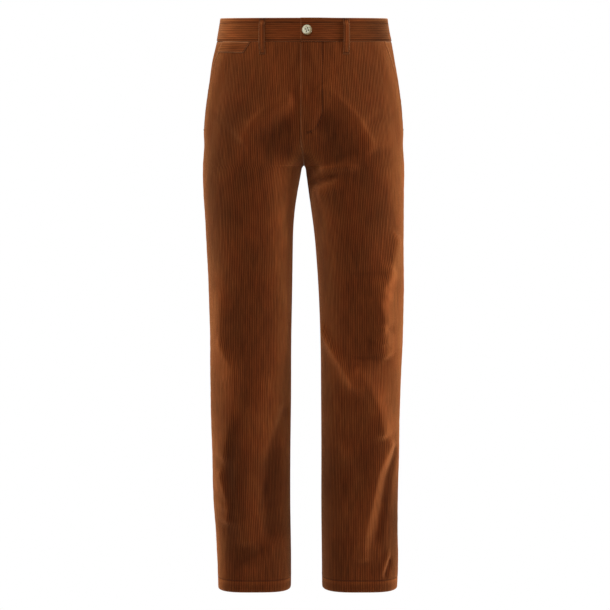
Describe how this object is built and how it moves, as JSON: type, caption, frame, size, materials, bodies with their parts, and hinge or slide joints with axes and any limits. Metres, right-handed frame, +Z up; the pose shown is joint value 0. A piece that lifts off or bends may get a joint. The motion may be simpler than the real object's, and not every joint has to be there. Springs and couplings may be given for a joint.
{
  "type": "corduroy trousers",
  "caption": "Straight-leg corduroy trousers in their worn, hollow shape, with a buttoned fly waistband, belt loops, slanted side pockets and a coin pocket.",
  "frame": {"origin": "centre of the waist, level with the waistband's top edge at the side seams, where the wearer holds it", "axes": "+X to the wearer's left, +Y to the wearer's back, +Z up"},
  "size_m": [0.3716, 0.2607, 1.0666],
  "materials": {
    "corduroy": "wide-wale cotton corduroy, brown, matt with a soft pile sheen",
    "button": "four-hole button, pale olive-cream, satin"
  },
  "bodies": {
    "root": {"front_left": "corduroy", "back_left": "corduroy", "pocket_facing_left": "corduroy", "waistband_left": "corduroy", "belt_loop_front_left": "corduroy", "belt_loop_back_left": "corduroy", "front_right": "corduroy", "back_right": "corduroy", "pocket_facing_right": "corduroy", "waistband_right": "corduroy", "belt_loop_front_right": "corduroy", "belt_loop_back_right": "corduroy", "belt_loop_back_centre": "corduroy", "coin_pocket_welt": "corduroy", "button": "button"}
  },
  "joints": []
}
